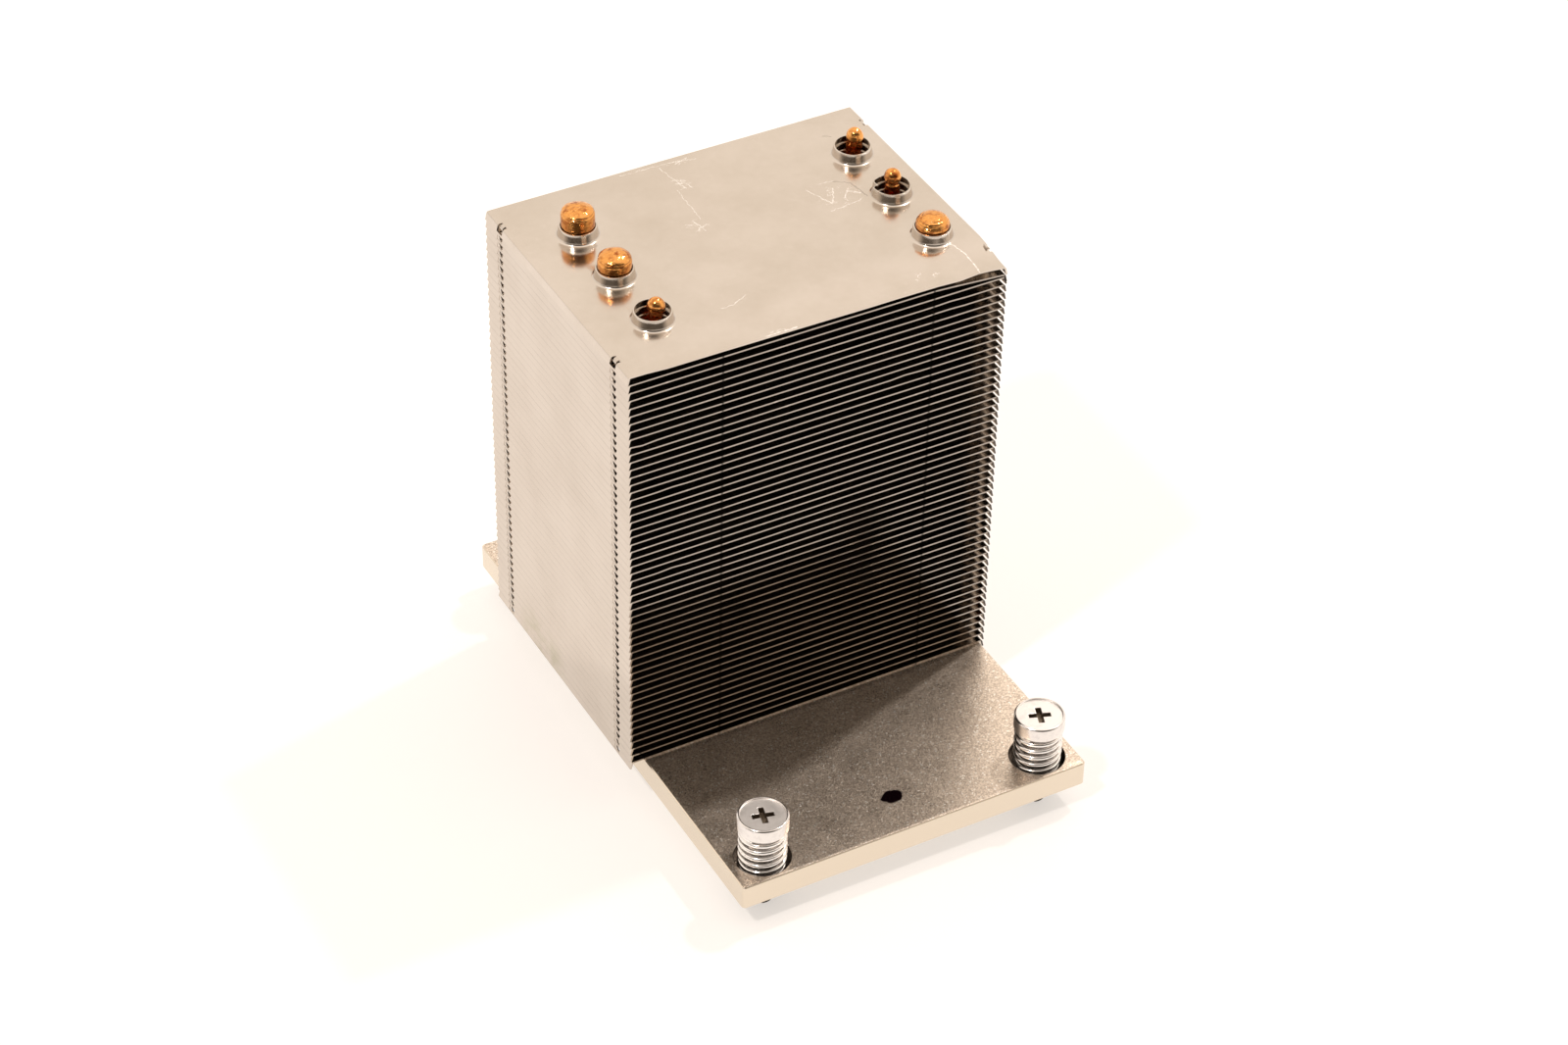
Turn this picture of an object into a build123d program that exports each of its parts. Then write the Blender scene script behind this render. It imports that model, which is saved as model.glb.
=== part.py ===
# Passive server processor heatsink: a folded fin stack on three U-shaped heat pipes,
# soldered to a plate that four captive spring screws hold on the socket.
# Millimetres, +Z up. The origin is the centre of the plate's contact face.
# X runs along the front edge to the right, and Y runs from the front to the back.
import os
from math import ceil, pi, sqrt

from build123d import *

os.makedirs("parts", exist_ok=True)

# Screw pattern of the narrow socket
SCREW_SPACING_X = 56.0
SCREW_SPACING_Y = 94.0

# Captive screws
HEAD_DIAMETER = 9.2
HEAD_HEIGHT = 2.7
HEAD_RISE = 9.9
HEAD_RIM_WIDTH = 0.45
HEAD_RECESS_DEPTH = 0.3
HEAD_EDGE_BREAK = 0.25
CROSS_SPAN = 4.1
CROSS_ARM_WIDTH = 1.15
CROSS_DEPTH = 1.5
CROSS_TAPER = 8.0
CROSS_ANGLES = {"front_left": -15, "front_right": -21, "rear_left": 32, "rear_right": 8}
SHOULDER_DIAMETER = 5.2
SHOULDER_CLEARANCE = 0.25
SHOULDER_TAIL = 0.7
THREAD_DIAMETER = 4.0
STANDOFF = 4.9
TIP_CHAMFER = 0.5

# Springs and retaining clips
SPRING_DIAMETER = 8.75
WIRE_DIAMETER = 0.85
SPRING_TURNS = 5.5
SPRING_CLEARANCE = 0.72
SEAT_THICKNESS = 1.2
SEAT_GAP = 0.05
CLIP_RECESS_DEPTH = 1.0
CLIP_RECESS_CLEARANCE = 0.4
CLIP_DIAMETER = 8.6
CLIP_THICKNESS = 0.6
CLIP_BAND = 1.3
CLIP_LUG_WIDTH = 1.4
CLIP_MOUTH = 3.4
GROOVE_DIAMETER = 3.4
GROOVE_CLEARANCE = 0.05

# Base plate
PLATE_THICKNESS = 5.0
EDGE_WALL_X = 1.75
EDGE_WALL_Y = 0.75
PLATE_CORNER_RADIUS = 0.8
PLATE_EDGE_BREAK = 0.2

# Fin stack
FIN_COUNT = 54
FIN_PITCH = 1.616
FIN_THICKNESS = 0.3
FIN_DEPTH = 54.5
OVERHANG_LEFT = 2.52
OVERHANG_RIGHT = 0.62
REAR_TOOL_GAP = 3.35
FOLD_RADIUS = 0.5
FLANGE_FLARE = 0.35
FLANGE_GAP = 0.04
NOTCH_INSET = 5.5
NOTCH_LENGTH = 2.0
NOTCH_REACH = 0.9
NOTCH_DROP = 0.95
COLLAR_HEIGHT = 2.0
COLLAR_WALL = 0.22
COLLAR_NEST_GAP = 0.02

# Heat pipes
PIPE_DIAMETER = 6.0
PIPE_GAP = 0.15
LEG_INSET_LEFT = 11.0
LEG_INSET_RIGHT = 7.4
ROW_SPACING = 14.1
ROW_OFFSET = -0.45
BEND_RADIUS = 18.0
FLAT_HEIGHT = 3.8
FLAT_BLEND = 5.0
SOLDER_GAP = 0.05
DOME_SIDES = {"rear": -1, "middle": -1, "front": 1}
DOME_RISES = {"rear": 4.0, "middle": 3.1, "front": 2.7}
TIP_RISES = {"rear": 2.75, "middle": 2.25, "front": 0.65}
DOME_HEIGHT = 2.1
TIP_BALL_DIAMETERS = {"rear": 2.6, "middle": 2.8, "front": 3.1}
TIP_NECK_DIAMETERS = {"rear": 2.4, "middle": 2.2, "front": 2.3}
TIP_NECK_LENGTH = 2.2
TIP_CONE_LENGTH = 3.2

# Plate outline and its stepped screw holes
counterbore_radius = SPRING_DIAMETER / 2 + SPRING_CLEARANCE
shank_hole_radius = SHOULDER_DIAMETER / 2 + SHOULDER_CLEARANCE
clip_recess_radius = CLIP_DIAMETER / 2 + CLIP_RECESS_CLEARANCE
seat_level = CLIP_RECESS_DEPTH + SEAT_THICKNESS
plate_width = SCREW_SPACING_X + 2 * (counterbore_radius + EDGE_WALL_X)
plate_depth = SCREW_SPACING_Y + 2 * (counterbore_radius + EDGE_WALL_Y)
screw_places = {
    "front_left": (-SCREW_SPACING_X / 2, -SCREW_SPACING_Y / 2),
    "front_right": (SCREW_SPACING_X / 2, -SCREW_SPACING_Y / 2),
    "rear_left": (-SCREW_SPACING_X / 2, SCREW_SPACING_Y / 2),
    "rear_right": (SCREW_SPACING_X / 2, SCREW_SPACING_Y / 2),
}

# Fin outline: its sides overhang the plate, and its rear edge clears the rear screws
fin_left = -plate_width / 2 - OVERHANG_LEFT
fin_right = plate_width / 2 + OVERHANG_RIGHT
fin_rear = SCREW_SPACING_Y / 2 - HEAD_DIAMETER / 2 - REAR_TOOL_GAP
fin_middle_y = fin_rear - FIN_DEPTH / 2
flange_drop = FIN_PITCH - FIN_THICKNESS - FLANGE_GAP
top_sheet = PLATE_THICKNESS + (FIN_COUNT - 1) * FIN_PITCH + FIN_THICKNESS
rim_height = top_sheet + COLLAR_HEIGHT

# Heat pipe route: a flattened run in the plate, two bends and two legs
pipe_radius = PIPE_DIAMETER / 2
leg_left = fin_left + LEG_INSET_LEFT
leg_right = fin_right - LEG_INSET_RIGHT
pipe_middle_x = (leg_left + leg_right) / 2
leg_reach = (leg_right - leg_left) / 2
bend_start = leg_reach - BEND_RADIUS
flat_half = bend_start - FLAT_BLEND
flat_width = FLAT_HEIGHT + pi * (PIPE_DIAMETER - FLAT_HEIGHT) / 2
groove_floor = PLATE_THICKNESS - FLAT_HEIGHT - 2 * SOLDER_GAP
flat_level = groove_floor + SOLDER_GAP + FLAT_HEIGHT / 2
run_level = groove_floor + SOLDER_GAP + pipe_radius
bend_level = run_level + BEND_RADIUS
row_places = {
    "rear": fin_middle_y + ROW_OFFSET + ROW_SPACING,
    "middle": fin_middle_y + ROW_OFFSET,
    "front": fin_middle_y + ROW_OFFSET - ROW_SPACING,
}

# Collars taper so that each one nests in the next fin without touching it
bore_rim_radius = pipe_radius + PIPE_GAP
collar_slope = (COLLAR_WALL + COLLAR_NEST_GAP) / FIN_PITCH
collar_rim_radius = bore_rim_radius + COLLAR_WALL
collar_foot_radius = collar_rim_radius + collar_slope * COLLAR_HEIGHT
bore_foot_radius = bore_rim_radius + collar_slope * (COLLAR_HEIGHT + FIN_THICKNESS)

# Fins below the end of the bends have slots in place of collared holes
slotted_count = ceil((bend_level - PLATE_THICKNESS) / FIN_PITCH)


def bend_reach(bend_radius, height):
    # How far a bend's inner or outer line stands from the middle at a height
    fall = bend_level - height
    if abs(fall) >= bend_radius:
        return flat_half
    return bend_start + sqrt(bend_radius**2 - fall**2)


def write(part, name):
    part.label = name
    export_step(part, f"parts/{name}.step")


# Base plate: three grooves for the pipes, four spring seats and four clip recesses below
with BuildPart() as base_plate:
    with BuildSketch():
        RectangleRounded(plate_width, plate_depth, PLATE_CORNER_RADIUS)
    extrude(amount=PLATE_THICKNESS)
    rims = base_plate.faces().filter_by(Axis.Z).edges()
    chamfer(rims, PLATE_EDGE_BREAK)
    with Locations((0, 0, PLATE_THICKNESS)):
        with GridLocations(SCREW_SPACING_X, SCREW_SPACING_Y, 2, 2):
            CounterBoreHole(
                shank_hole_radius, counterbore_radius, PLATE_THICKNESS - seat_level
            )
    with BuildSketch():
        with GridLocations(SCREW_SPACING_X, SCREW_SPACING_Y, 2, 2):
            Circle(clip_recess_radius)
    extrude(amount=CLIP_RECESS_DEPTH, mode=Mode.SUBTRACT)
    groove_half = bend_reach(BEND_RADIUS + pipe_radius, PLATE_THICKNESS) + PIPE_GAP
    for row_y in row_places.values():
        with BuildSketch(Plane.YZ.offset(pipe_middle_x)):
            with Locations((row_y, flat_level)):
                SlotOverall(flat_width + 2 * SOLDER_GAP, FLAT_HEIGHT + 2 * SOLDER_GAP)
            with Locations((row_y, flat_level)):
                Rectangle(
                    flat_width + 2 * SOLDER_GAP,
                    PLATE_THICKNESS - flat_level + PLATE_EDGE_BREAK,
                    align=(Align.CENTER, Align.MIN),
                )
        extrude(amount=groove_half, both=True, mode=Mode.SUBTRACT)
write(base_plate.part, "base_plate")


# One folded fin blank at a height, with its interlock notches
def fin_blank(level):
    with BuildPart() as blank:
        with BuildSketch(Plane.XZ.offset(-fin_middle_y)) as section:
            with BuildLine():
                Polyline(
                    (fin_left, level + FIN_THICKNESS),
                    (fin_right, level + FIN_THICKNESS),
                    (fin_right + FLANGE_FLARE, level - flange_drop),
                    (fin_right + FLANGE_FLARE - FIN_THICKNESS, level - flange_drop),
                    (fin_right - FIN_THICKNESS, level),
                    (fin_left + FIN_THICKNESS, level),
                    (fin_left - FLANGE_FLARE + FIN_THICKNESS, level - flange_drop),
                    (fin_left - FLANGE_FLARE, level - flange_drop),
                    close=True,
                )
            make_face()
            fillet(section.vertices().group_by(Axis.Y)[-2], FOLD_RADIUS - FIN_THICKNESS)
            fillet(section.vertices().group_by(Axis.Y)[-1], FOLD_RADIUS)
        extrude(amount=FIN_DEPTH / 2, both=True)
        notch_y = FIN_DEPTH / 2 - NOTCH_INSET
        notch_x = 2 * (FLANGE_FLARE + NOTCH_REACH)
        for side_x, inward in ((fin_left, 1), (fin_right, -1)):
            middle_x = side_x + inward * (NOTCH_REACH - notch_x / 2)
            with Locations(
                (middle_x, fin_middle_y - notch_y, level - NOTCH_DROP),
                (middle_x, fin_middle_y + notch_y, level - NOTCH_DROP),
            ):
                Box(
                    notch_x,
                    NOTCH_LENGTH,
                    NOTCH_DROP + 2 * FIN_THICKNESS,
                    align=(Align.CENTER, Align.CENTER, Align.MIN),
                    mode=Mode.SUBTRACT,
                )
    return blank.part


# A slotted fin: each slot reaches as far as the bend does at that height
def slotted_fin(level):
    with BuildPart() as fin:
        add(fin_blank(level))
        inner = bend_reach(BEND_RADIUS - pipe_radius, level) - PIPE_GAP
        outer = bend_reach(BEND_RADIUS + pipe_radius, level + FIN_THICKNESS) + PIPE_GAP
        with BuildSketch(Plane.XY.offset(level)):
            for row_y in row_places.values():
                with Locations((pipe_middle_x, row_y)):
                    with GridLocations(inner + outer, 1, 2, 1):
                        SlotOverall(
                            max(outer - inner, flat_width + 3 * PIPE_GAP),
                            flat_width + 2 * PIPE_GAP,
                        )
        extrude(amount=FIN_THICKNESS, mode=Mode.SUBTRACT)
    return fin.part


# A collared fin: six drawn collars that stand up from the sheet round the pipe legs
def collared_fin(level):
    with BuildPart() as fin:
        add(fin_blank(level))
        foot = [(x, y) for x in (leg_left, leg_right) for y in row_places.values()]
        with Locations(*[(x, y, level + FIN_THICKNESS) for x, y in foot]):
            Cone(
                collar_foot_radius,
                collar_rim_radius,
                COLLAR_HEIGHT,
                align=(Align.CENTER, Align.CENTER, Align.MIN),
            )
        with Locations(*[(x, y, level) for x, y in foot]):
            Cone(
                bore_foot_radius,
                bore_rim_radius,
                FIN_THICKNESS + COLLAR_HEIGHT,
                align=(Align.CENTER, Align.CENTER, Align.MIN),
                mode=Mode.SUBTRACT,
            )
    return fin.part


levels = [PLATE_THICKNESS + k * FIN_PITCH for k in range(FIN_COUNT)]
slotted_fins = Compound(children=[slotted_fin(z) for z in levels[:slotted_count]])
write(slotted_fins, "slotted_fins")
for k in range(slotted_count, FIN_COUNT - 1):
    write(collared_fin(levels[k]), f"fin_{k + 1:02d}")
write(collared_fin(levels[-1]), "top_fin")

# Heat pipes: one end is domed, the other is drawn down to a crimped tip
for row, row_y in row_places.items():
    dome_x = pipe_middle_x + DOME_SIDES[row] * leg_reach
    tip_x = pipe_middle_x - DOME_SIDES[row] * leg_reach
    dome_top = rim_height + DOME_RISES[row]
    dome_foot = dome_top - DOME_HEIGHT
    ball_level = rim_height + TIP_RISES[row]
    ball_radius = TIP_BALL_DIAMETERS[row] / 2
    neck_radius = TIP_NECK_DIAMETERS[row] / 2
    ball_foot = ball_level - sqrt(ball_radius**2 - neck_radius**2)
    cone_foot = ball_foot - TIP_NECK_LENGTH - TIP_CONE_LENGTH
    with BuildPart() as heat_pipe:
        with BuildSketch(Plane.YZ.offset(pipe_middle_x)):
            with Locations((row_y, flat_level)):
                SlotOverall(flat_width, FLAT_HEIGHT)
        extrude(amount=flat_half, both=True)
        for side, leg_top in ((DOME_SIDES[row], dome_foot), (-DOME_SIDES[row], cone_foot)):
            with BuildSketch(Plane.YZ.offset(pipe_middle_x + side * flat_half)):
                with Locations((row_y, flat_level)):
                    SlotOverall(flat_width, FLAT_HEIGHT)
            with BuildSketch(Plane.YZ.offset(pipe_middle_x + side * bend_start)):
                with Locations((row_y, run_level)):
                    Circle(pipe_radius)
            loft()
            with BuildLine(Plane.XZ.offset(-row_y)) as route:
                bend = JernArc(
                    (pipe_middle_x + side * bend_start, run_level),
                    (side, 0),
                    BEND_RADIUS,
                    side * 90,
                )
                Line(bend @ 1, (pipe_middle_x + side * leg_reach, leg_top))
            with BuildSketch(Plane.YZ.offset(pipe_middle_x + side * bend_start)):
                with Locations((row_y, run_level)):
                    Circle(pipe_radius)
            sweep(path=route.line)
        with BuildSketch(Plane.XZ.offset(-row_y)):
            with BuildLine():
                Line((dome_x, dome_top), (dome_x, dome_foot))
                Line((dome_x, dome_foot), (dome_x + pipe_radius, dome_foot))
                EllipticalCenterArc(
                    (dome_x, dome_foot), pipe_radius, DOME_HEIGHT, start_angle=0, arc_size=90
                )
            make_face()
        revolve(axis=Axis((dome_x, row_y, 0), (0, 0, 1)))
        with BuildSketch(Plane.XZ.offset(-row_y)):
            with BuildLine():
                Polyline(
                    (tip_x, ball_level + ball_radius),
                    (tip_x, cone_foot),
                    (tip_x + pipe_radius, cone_foot),
                    (tip_x + neck_radius, ball_foot - TIP_NECK_LENGTH),
                    (tip_x + neck_radius, ball_foot),
                )
                ThreePointArc(
                    (tip_x + neck_radius, ball_foot),
                    (tip_x + ball_radius, ball_level),
                    (tip_x, ball_level + ball_radius),
                )
            make_face()
        revolve(axis=Axis((tip_x, row_y, 0), (0, 0, 1)))
    write(heat_pipe.part, f"heat_pipe_{row}")

# Screw levels, from the head down to the tip
head_top = PLATE_THICKNESS + HEAD_RISE
head_foot = head_top - HEAD_HEIGHT
clip_top = CLIP_RECESS_DEPTH - SEAT_GAP
clip_foot = clip_top - CLIP_THICKNESS
groove_top = clip_top + GROOVE_CLEARANCE
groove_foot = clip_foot - GROOVE_CLEARANCE
shoulder_end = groove_foot - SHOULDER_TAIL

for corner, (screw_x, screw_y) in screw_places.items():
    # Captive screw: turned body, then the cross recess
    with BuildPart() as screw:
        with BuildSketch(Plane.XZ.offset(-screw_y)):
            with BuildLine():
                Polyline(
                    (screw_x, head_top - HEAD_RECESS_DEPTH),
                    (screw_x + HEAD_DIAMETER / 2 - HEAD_RIM_WIDTH, head_top - HEAD_RECESS_DEPTH),
                    (screw_x + HEAD_DIAMETER / 2 - HEAD_RIM_WIDTH, head_top),
                    (screw_x + HEAD_DIAMETER / 2 - HEAD_EDGE_BREAK, head_top),
                    (screw_x + HEAD_DIAMETER / 2, head_top - HEAD_EDGE_BREAK),
                    (screw_x + HEAD_DIAMETER / 2, head_foot),
                    (screw_x + SHOULDER_DIAMETER / 2, head_foot),
                    (screw_x + SHOULDER_DIAMETER / 2, groove_top),
                    (screw_x + GROOVE_DIAMETER / 2, groove_top),
                    (screw_x + GROOVE_DIAMETER / 2, groove_foot),
                    (screw_x + SHOULDER_DIAMETER / 2, groove_foot),
                    (screw_x + SHOULDER_DIAMETER / 2, shoulder_end),
                    (screw_x + THREAD_DIAMETER / 2, shoulder_end),
                    (screw_x + THREAD_DIAMETER / 2, TIP_CHAMFER - STANDOFF),
                    (screw_x + THREAD_DIAMETER / 2 - TIP_CHAMFER, -STANDOFF),
                    (screw_x, -STANDOFF),
                    close=True,
                )
            make_face()
        revolve(axis=Axis((screw_x, screw_y, 0), (0, 0, 1)))
        with BuildSketch(Plane.XY.offset(head_top)):
            with Locations((screw_x, screw_y)):
                Rectangle(CROSS_SPAN, CROSS_ARM_WIDTH, rotation=CROSS_ANGLES[corner])
                Rectangle(CROSS_ARM_WIDTH, CROSS_SPAN, rotation=CROSS_ANGLES[corner])
        extrude(amount=-CROSS_DEPTH, taper=CROSS_TAPER, mode=Mode.SUBTRACT)
    write(screw.part, f"screw_{corner}")

    # Compression spring from the seat in the plate to the underside of the head
    wire_radius = WIRE_DIAMETER / 2
    coil_foot = seat_level + wire_radius + SEAT_GAP
    coil_height = head_foot - wire_radius - SEAT_GAP - coil_foot
    coil_radius = SPRING_DIAMETER / 2 - wire_radius
    with BuildPart() as spring:
        with BuildLine() as coil:
            Helix(
                coil_height / SPRING_TURNS,
                coil_height,
                coil_radius,
                center=(screw_x, screw_y, coil_foot),
            )
        with BuildSketch(Plane(coil.line @ 0, z_dir=coil.line % 0)):
            Circle(wire_radius)
        sweep(path=coil.line, is_frenet=True)
    write(spring.part, f"spring_{corner}")

    # Retaining clip in the screw's groove, in the recess under the plate
    lug_length = CLIP_DIAMETER / 2 - GROOVE_DIAMETER / 2
    lug_middle = (CLIP_DIAMETER + GROOVE_DIAMETER) / 4
    with BuildPart() as clip:
        with BuildSketch(Plane.XY.offset(clip_foot)):
            with Locations((screw_x, screw_y)):
                Circle(CLIP_DIAMETER / 2)
                Circle(CLIP_DIAMETER / 2 - CLIP_BAND, mode=Mode.SUBTRACT)
                with PolarLocations(lug_middle, 3, start_angle=-30):
                    Rectangle(lug_length, CLIP_LUG_WIDTH)
                Rectangle(
                    CLIP_MOUTH, CLIP_DIAMETER, align=(Align.CENTER, Align.MAX), mode=Mode.SUBTRACT
                )
                Circle(GROOVE_DIAMETER / 2 + GROOVE_CLEARANCE, mode=Mode.SUBTRACT)
        extrude(amount=CLIP_THICKNESS)
    write(clip.part, f"clip_{corner}")
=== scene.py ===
import math

import bmesh
import bpy
from mathutils import Matrix, Vector, noise


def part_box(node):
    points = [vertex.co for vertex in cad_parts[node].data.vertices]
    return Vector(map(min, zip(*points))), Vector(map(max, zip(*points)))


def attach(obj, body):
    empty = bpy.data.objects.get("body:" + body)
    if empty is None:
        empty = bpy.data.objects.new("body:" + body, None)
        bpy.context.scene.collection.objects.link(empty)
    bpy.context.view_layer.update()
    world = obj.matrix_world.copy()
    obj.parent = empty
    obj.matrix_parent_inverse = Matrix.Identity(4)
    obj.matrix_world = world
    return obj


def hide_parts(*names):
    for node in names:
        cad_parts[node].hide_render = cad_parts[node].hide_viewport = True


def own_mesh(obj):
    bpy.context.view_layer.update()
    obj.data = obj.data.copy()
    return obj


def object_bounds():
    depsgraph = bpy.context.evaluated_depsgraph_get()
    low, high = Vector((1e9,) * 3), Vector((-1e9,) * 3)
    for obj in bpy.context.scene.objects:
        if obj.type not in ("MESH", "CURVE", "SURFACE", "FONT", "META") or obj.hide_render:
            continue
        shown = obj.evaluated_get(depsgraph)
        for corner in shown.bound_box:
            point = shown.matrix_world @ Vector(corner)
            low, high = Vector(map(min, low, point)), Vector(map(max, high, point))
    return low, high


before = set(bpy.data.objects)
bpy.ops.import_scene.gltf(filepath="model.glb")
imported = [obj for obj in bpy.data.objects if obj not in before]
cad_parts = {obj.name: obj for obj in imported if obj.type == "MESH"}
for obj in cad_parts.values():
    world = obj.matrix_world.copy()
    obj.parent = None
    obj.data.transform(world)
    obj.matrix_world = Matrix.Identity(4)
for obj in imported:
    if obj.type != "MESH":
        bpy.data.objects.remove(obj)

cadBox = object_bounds()
mm = 0.001
mergeDistance = 0.001 * mm
corners = ("front_left", "front_right", "rear_left", "rear_right")
rows = ("rear", "middle", "front")
nodeNames = sorted(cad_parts)
finNames = [name for name in nodeNames if name.startswith("fin_")]
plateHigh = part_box("base_plate")[1]
topLow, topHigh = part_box("top_fin")
finMiddle = (topLow.x + topHigh.x) / 2
finHalf = (topHigh.x - topLow.x) / 2
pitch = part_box(finNames[1])[1].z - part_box(finNames[0])[1].z
collarHeight = 2.0 * mm
sheetTop = topHigh.z - collarHeight
print("frame loaded:", len(nodeNames), "nodes")


# Mesh helpers

def mergedCopy(nodeName):
    # the frame's meshes are loose triangles, so a copy is welded before it is shaped
    bm = bmesh.new()
    bm.from_mesh(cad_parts[nodeName].data)
    bmesh.ops.remove_doubles(bm, verts=bm.verts, dist=mergeDistance)
    return bm


def addPiece(name, bm, materials, body, replaced=(), sharpAngle=32):
    mesh = bpy.data.meshes.new(name)
    bm.to_mesh(mesh)
    bm.free()
    if "custom_normal" in mesh.attributes:
        mesh.attributes.remove(mesh.attributes["custom_normal"])
    mesh.shade_smooth()
    mesh.set_sharp_from_angle(angle=math.radians(sharpAngle))
    mesh.materials.clear()
    for material in materials:
        mesh.materials.append(material)
    piece = bpy.data.objects.new(name, mesh)
    bpy.context.scene.collection.objects.link(piece)
    if replaced:
        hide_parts(*replaced)
    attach(piece, body)
    return piece


def cutPlane(bm, faces, place, normal, clearOuter=False):
    # keys keep their order, so each run gives the same mesh
    edges = dict.fromkeys(e for f in faces for e in f.edges)
    verts = dict.fromkeys(v for f in faces for v in f.verts)
    bmesh.ops.bisect_plane(
        bm,
        geom=[*verts, *edges, *faces],
        dist=mergeDistance,
        plane_co=place,
        plane_no=normal,
        clear_outer=clearOuter,
    )


def cutAcross(bm, axis, places, wanted=None):
    # extra edge lines, so that a flat sheet can bend
    normal = Vector([1.0 if k == axis else 0.0 for k in range(3)])
    for place in places:
        cutPlane(bm, [f for f in bm.faces if wanted is None or wanted(f)], normal * place, normal)


def wind(bm, geom, centre, axis, angle, steps, rise=0.0):
    # a section is turned about an axis, and rises by this much at each step
    return bmesh.ops.spin(
        bm,
        geom=geom,
        cent=centre,
        axis=axis,
        dvec=(0, 0, rise),
        angle=angle,
        steps=steps,
        use_duplicate=False,
    )["geom_last"]


def bevelEdges(bm, edges, width, segments=2):
    bmesh.ops.bevel(
        bm,
        geom=edges,
        offset=width,
        offset_type="OFFSET",
        segments=segments,
        profile=0.5,
        affect="EDGES",
        material=-1,
        clamp_overlap=True,
    )


def hardEdges(bm, angle):
    # the edges where two faces meet at more than this angle, in degrees
    return [e for e in bm.edges if len(e.link_faces) == 2 and math.degrees(e.calc_face_angle()) > angle]


def smoothStep(low, high, value):
    t = min(1.0, max(0.0, (value - low) / (high - low)))
    return t * t * (3 - 2 * t)


def offSides(x, reach):
    # 0 at the fins' left and right sides, and 1 from this far inwards
    return smoothStep(0, reach, x - topLow.x) * smoothStep(0, reach, topHigh.x - x)


def screwAxis(corner):
    low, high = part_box(f"screw_{corner}")
    return Vector(((low.x + high.x) / 2, (low.y + high.y) / 2))


# Material helpers

def addNode(tree, kind, inputs=None, **settings):
    made = tree.nodes.new(kind)
    for key, value in settings.items():
        setattr(made, key, value)
    for key, value in (inputs or {}).items():
        if isinstance(value, bpy.types.NodeSocket):
            tree.links.new(value, made.inputs[key])
        else:
            made.inputs[key].default_value = value
    return made


def startMaterial(name, colour, metallic, roughness):
    material = bpy.data.materials.new(name)
    material.use_nodes = True
    tree = material.node_tree
    shader = tree.nodes["Principled BSDF"]
    shader.inputs["Base Color"].default_value = (*colour, 1)
    shader.inputs["Metallic"].default_value = metallic
    shader.inputs["Roughness"].default_value = roughness
    return material, tree, shader


def objectPoint(tree):
    return addNode(tree, "ShaderNodeTexCoord").outputs["Object"]


def vectorMath(tree, operation, a, b=(0, 0, 0), output=0):
    return addNode(tree, "ShaderNodeVectorMath", {0: a, 1: b}, operation=operation).outputs[output]


def stretched(tree, point, scale):
    return vectorMath(tree, "MULTIPLY", point, scale)


def noiseField(tree, point, size, detail=3.0, roughness=0.55):
    values = {"Vector": point, "Scale": 1 / size, "Detail": detail, "Roughness": roughness}
    return addNode(tree, "ShaderNodeTexNoise", values).outputs["Fac"]


def remap(tree, value, low, high, newLow=0.0, newHigh=1.0):
    values = {0: value, 1: low, 2: high, 3: newLow, 4: newHigh}
    return addNode(tree, "ShaderNodeMapRange", values).outputs[0]


def calc(tree, operation, a, b=0.0):
    return addNode(tree, "ShaderNodeMath", {0: a, 1: b}, operation=operation).outputs[0]


def product(tree, first, *others):
    for other in others:
        first = calc(tree, "MULTIPLY", first, other)
    return first


def axisParts(tree, point):
    return addNode(tree, "ShaderNodeSeparateXYZ", {0: point}).outputs


def mixColour(tree, factor, a, b):
    a = (*a, 1) if isinstance(a, tuple) else a
    b = (*b, 1) if isinstance(b, tuple) else b
    return addNode(tree, "ShaderNodeMix", {0: factor, 6: a, 7: b}, data_type="RGBA").outputs[2]


def setSurface(tree, shader, colour, roughness):
    tree.links.new(colour, shader.inputs["Base Color"])
    tree.links.new(roughness, shader.inputs["Roughness"])


def addBump(tree, shader, height, strength, distance):
    values = {"Height": height, "Strength": strength, "Distance": distance}
    bump = addNode(tree, "ShaderNodeBump", values)
    tree.links.new(bump.outputs["Normal"], shader.inputs["Normal"])


def ellipseDistance(tree, point, centre, radii):
    # 0 at the centre of an ellipse on the XY plane and 1 on its edge
    moved = vectorMath(tree, "SUBTRACT", point, (*centre, 0))
    flat = stretched(tree, moved, (1 / radii[0], 1 / radii[1], 0))
    return vectorMath(tree, "LENGTH", flat, output="Value")


def lineMask(tree, point, start, end, width):
    # 1 on a line on the XY plane, fading out at its width
    line = Vector((end[0] - start[0], end[1] - start[1], 0))
    fromStart = vectorMath(tree, "SUBTRACT", point, (*start, 0))
    along = vectorMath(tree, "DOT_PRODUCT", fromStart, line / line.length_squared, "Value")
    share = addNode(tree, "ShaderNodeClamp", {0: along}).outputs[0]
    nearest = addNode(tree, "ShaderNodeVectorMath", {0: line, "Scale": share}, operation="SCALE").outputs[0]
    away = vectorMath(tree, "SUBTRACT", fromStart, nearest)
    return remap(tree, vectorMath(tree, "LENGTH", away, output="Value"), width, 0.0)


# Finishes

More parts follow.
